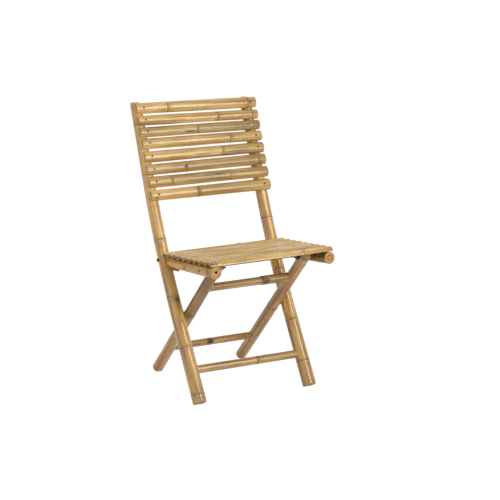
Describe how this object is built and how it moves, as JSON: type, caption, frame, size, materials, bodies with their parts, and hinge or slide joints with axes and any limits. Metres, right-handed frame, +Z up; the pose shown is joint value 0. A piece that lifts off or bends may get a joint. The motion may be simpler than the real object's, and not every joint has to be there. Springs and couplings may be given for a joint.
{
  "type": "bamboo folding chair",
  "caption": "Upright folding side chair of bamboo poles with half-cane slats on back and seat, crossed legs and a hinged seat that folds flat against the back.",
  "frame": {"origin": "on the floor below the middle of the chair's box", "axes": "+Z up, the sitter faces -Y, +X to the right as seen from the front"},
  "size_m": [0.448, 0.5898, 0.8951],
  "materials": {
    "pole_cane": "varnished bamboo pole, satin gloss",
    "leg_cane": "varnished bamboo pole, darker, satin gloss",
    "slat_cane": "varnished split bamboo, satin gloss",
    "dark_steel": "dark oxidised steel",
    "zinc_steel": "dull zinc plated steel"
  },
  "bodies": {
    "back_frame": {"long_pole_left": "pole_cane", "long_pole_right": "pole_cane", "front_stretcher": "pole_cane", "back_slat_1": "slat_cane", "back_slat_2": "slat_cane", "back_slat_3": "slat_cane", "back_slat_4": "slat_cane", "back_slat_5": "slat_cane", "back_slat_6": "slat_cane", "back_slat_7": "slat_cane", "back_slat_8": "slat_cane", "bracket_bolt_left": "dark_steel", "bracket_nut_left": "zinc_steel", "seat_bracket_left": "dark_steel", "bracket_bolt_right": "dark_steel", "bracket_nut_right": "zinc_steel", "seat_bracket_right": "dark_steel"},
    "rear_legs": {"short_leg_left": "leg_cane", "crossing_pin_left": "zinc_steel", "crossing_washer_left": "zinc_steel", "seat_bolt_left": "dark_steel", "seat_nut_left": "dark_steel", "seat_washer_left": "zinc_steel", "short_leg_right": "leg_cane", "crossing_pin_right": "zinc_steel", "crossing_washer_right": "zinc_steel", "seat_bolt_right": "dark_steel", "seat_nut_right": "dark_steel", "seat_washer_right": "zinc_steel", "lower_leg_stretcher": "leg_cane", "upper_leg_stretcher": "leg_cane"},
    "seat": {"seat_rail_left": "pole_cane", "seat_rail_right": "pole_cane", "seat_crossbar": "leg_cane", "crossbar_screw_left": "dark_steel", "crossbar_screw_right": "dark_steel", "seat_slat_1": "slat_cane", "seat_slat_2": "slat_cane", "seat_slat_3": "slat_cane", "seat_slat_4": "slat_cane", "seat_slat_5": "slat_cane", "seat_slat_6": "slat_cane", "seat_slat_7": "slat_cane", "seat_slat_8": "slat_cane", "seat_slat_9": "slat_cane"}
  },
  "joints": [
    {"name": "leg_fold", "type": "hinge", "parent": "back_frame", "child": "rear_legs", "pos_m": [0, -0.02355, 0.25543], "axis": [-1, 0, 0], "range_deg": [0, 60]},
    {"name": "seat_fold", "type": "hinge", "parent": "rear_legs", "child": "seat", "pos_m": [0, -0.21017, 0.4485], "axis": [1, 0, 0], "range_deg": [0, 138]}
  ],
  "couplings": [
    {"joint": "seat_fold", "follows": "leg_fold", "ratio": 2.3}
  ]
}
